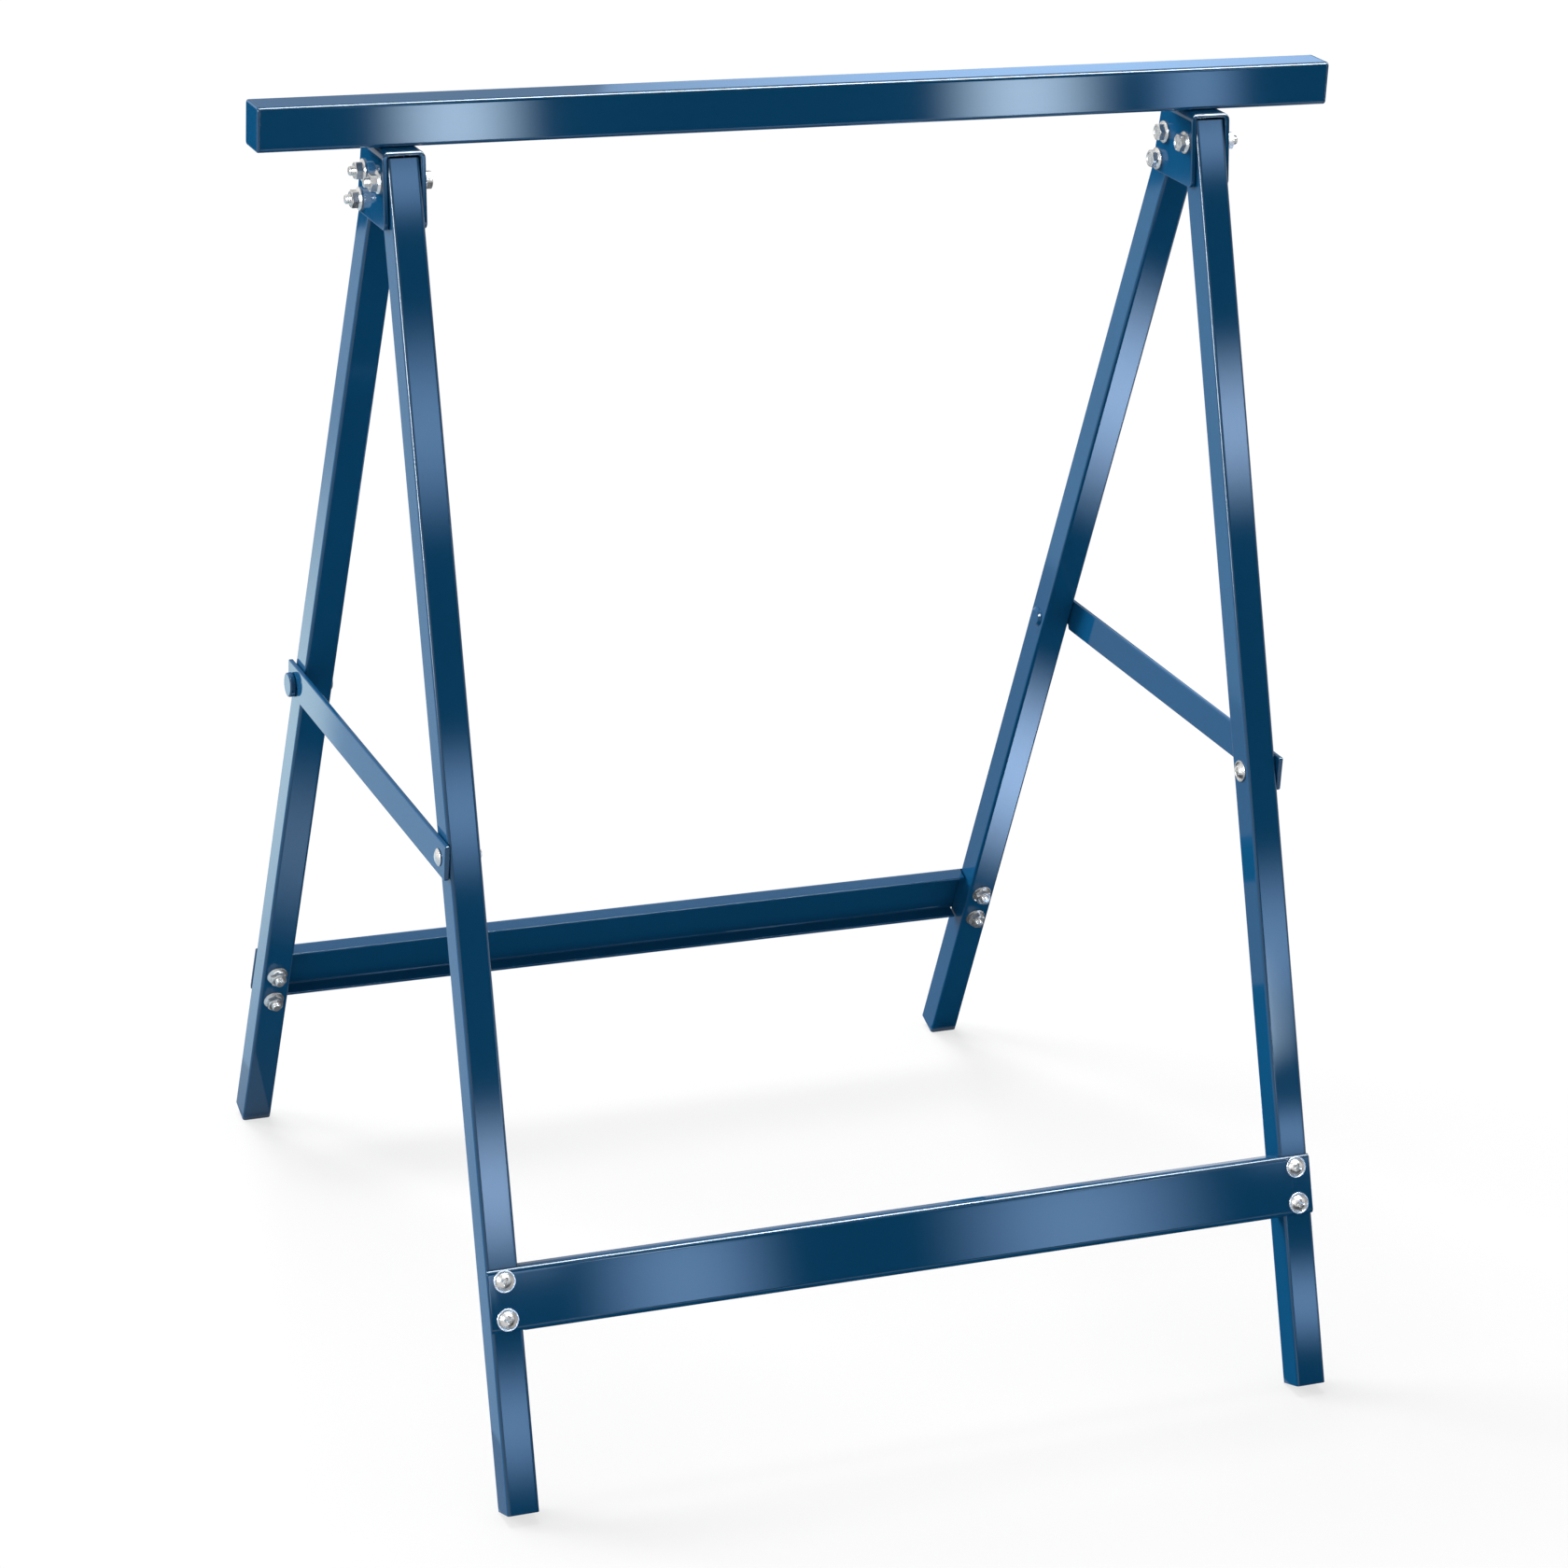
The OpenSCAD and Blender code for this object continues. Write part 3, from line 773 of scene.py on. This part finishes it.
place = beam_front + gloss_of(beam_front, -inward) * beam_flag_away
place.z = beam_flag_lift
gloss_sheet("flag_beam", place, across, inward, width=3.2, height=2.4, material=dark_cloth)
place = leg_front + gloss_of(leg_front, out_of["front"]) * leg_flag_away
level = upright.cross(leg_front - place)
facing_sheet("flag_front", place, leg_front, level, width=1.9, height=2.3, material=dark_cloth)
place = beam_middle + gloss_of(beam_middle, upright) * top_sheet_away
gloss_sheet("sheet_top", place, across, upright, width=3.2, height=1.2, material=mid_cloth)
for name, x, y, lift, width, length, material in (
    ("flag_floor", 0.25, -0.11, 0.004, 1.01, 0.78, dark_cloth),
    ("flag_back", -1.20, 3.06, 0.005, 0.90, 0.90, dark_cloth),
    ("sheet_left", -0.95, 1.20, 0.003, 1.30, 3.00, pale_cloth),
    ("sheet_right", 0.10, 1.20, 0.003, 0.80, 3.00, mid_cloth),
):
    gloss_sheet(name, Vector((x, y, lift)), across, inward, width, length, material)


# Light panels: soft lights, brightest in the middle, hung where the gloss of a face looks, so that
# the dark enamel carries pale patches along its length and its rounded edges catch a thin bright
# line. The patches on the rear legs come from panels that lie on the floor.

def panel_paint(name, colour, brightness):
    """Light that fades softly from the middle of a sheet to its rim."""
    material, start = blank_material(name)
    place = start.add("ShaderNodeSeparateXYZ", None, {
        "Vector": start.add("ShaderNodeTexCoord", None, None, "Object"),
    })
    wide = place
    high = place.out("Y")
    fade = (1.0 - wide * wide) * (1.0 - high * high * high * high)
    light = start.add("ShaderNodeEmission", None, {"Color": colour, "Strength": brightness})
    clear = start.add("ShaderNodeBsdfTransparent")
    start.add("ShaderNodeOutputMaterial", None, {
        "Surface": start.add("ShaderNodeMixShader", None, {0: fade * fade, 1: clear, 2: light}),
    })
    return material


panels = {
    "edge": panel_paint("edge_panel", (0.78, 0.91, 1.0, 1.0), 60.0),
    "bright": panel_paint("bright_panel", (0.60, 0.79, 1.0, 1.0), 17.5),
    "clear": panel_paint("clear_panel", (0.47, 0.67, 1.0, 1.0), 13.5),
    "mild": panel_paint("mild_panel", (0.36, 0.60, 1.0, 1.0), 8.0),
    "soft": panel_paint("soft_panel", (0.80, 0.98, 1.0, 1.0), 2.2),
    "faint": panel_paint("faint_panel", (0.50, 0.70, 1.0, 1.0), 2.6),
}


def glint(name, point, normal, along, half_length, strength, away):
    """A soft light patch in the gloss of a face, with its length along the face."""
    panel_length = 3 * half_length
    panel_width = 0.09
    spread = 1 + away / (point - camera.matrix_world.translation).length
    place = point + gloss_of(point, normal) * away
    facing_sheet("glint_" + name, place, point, along,
                 panel_length * spread, panel_width * spread, panels[strength])


def floor_glint(name, point, normal, along, half_length, strength):
    """A soft light patch in the gloss of a face that looks at the floor."""
    panel_lift = 0.006
    panel_width = 0.10
    ends = []
    for step in (-half_length, half_length):
        end = point + along * step
        gloss = gloss_of(end, normal)
        ends.append(end - gloss * (end.z - panel_lift) / gloss.z)
    run = ends[1] - ends[0]
    wide = run.normalized()
    gloss_sheet("glint_" + name, (ends[0] + ends[1]) / 2, wide, upright.cross(wide),
                2 * run.length, panel_width, panels[strength])


leg_x = (leg_low.x + leg_high.x) / 2
half_leg = (leg_high.x - leg_low.x) / 2
rail_low, rail_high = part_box("front_rail")
down_front = Vector((0, -math.sin(leg_lean), -math.cos(leg_lean)))
down_rear = Vector((0, math.sin(leg_lean), -math.cos(leg_lean)))
inner = -out_of["rear"]

for x, half_length, strength in (
    (-0.230, 0.038, "bright"), (0.138, 0.043, "bright"), (0.258, 0.025, "mild"),
):
    point = Vector((x, beam_low.y, beam_middle.z))
    glint(f"beam_{x}", point, -inward, across, half_length, strength, away=1.4)
point = Vector((0.180, 0.0, beam_high.z))
glint("beam_top", point, upright, across, half_length=0.33, strength="faint", away=2.4)
for side, drop, half_length, strength, away in (
    (-1, 0.000, 0.020, "mild", 1.6), (-1, 0.145, 0.050, "mild", 1.6), (-1, 0.370, 0.035, "mild", 1.6),
    (-1, 0.595, 0.042, "clear", 1.6), (-1, 0.735, 0.033, "mild", 1.2),
    (1, 0.000, 0.020, "mild", 1.6), (1, 0.180, 0.045, "clear", 1.6), (1, 0.505, 0.045, "mild", 1.6),
    (1, 0.628, 0.016, "mild", 1.6), (1, 0.735, 0.025, "mild", 1.2),
):
    leg_axis = Vector((side * leg_x, leg_top.y, leg_top.z)) + down_front * drop
    point = leg_axis + out_of["front"] * half_leg
    glint(f"front_{side}_{drop}", point, out_of["front"], down_front, half_length, strength, away)
for side, face, drop, half_length, strength in (
    (1, inner, 0.200, 0.060, "clear"), (1, inner, 0.530, 0.060, "clear"),
    (-1, inner, 0.530, 0.050, "faint"), (-1, out_of["left"], 0.450, 0.170, "soft"),
):
    leg_axis = Vector((side * leg_x, -leg_top.y, leg_top.z)) + down_rear * drop
    point = leg_axis + face * half_leg
    floor_glint(f"rear_{side}_{drop}", point, face, down_rear, half_length, strength)
for x, half_length in ((-0.150, 0.050), (0.110, 0.070)):
    point = Vector((x, rail_low.y, (rail_low.z + rail_high.z) / 2))
    glint(f"rail_{x}", point, out_of["front"], across, half_length, "mild", away=1.0)

leg_edge = (out_of["front"] + out_of["left"]).normalized()
leg_edge_height = 0.92 * leg_top.z
leg_edge_point = Vector((0, leg_top.y, leg_edge_height))
leg_strip_away = 2.2
place = leg_edge_point + gloss_of(leg_edge_point, leg_edge) * leg_strip_away
level = upright.cross(leg_edge_point - place)
facing_sheet("strip_left", place, leg_edge_point, level, width=0.8, height=1.05, material=panels["edge"])
beam_edge = (upright - inward).normalized()
beam_edge_point = Vector((0, beam_low.y, beam_high.z))
beam_strip_away = 2.0
place = beam_edge_point + gloss_of(beam_edge_point, beam_edge) * beam_strip_away
facing_sheet("strip_top", place, leg_edge_point, across, width=3.8, height=0.9, material=panels["edge"])

bpy.context.scene.view_settings.view_transform = "Standard"
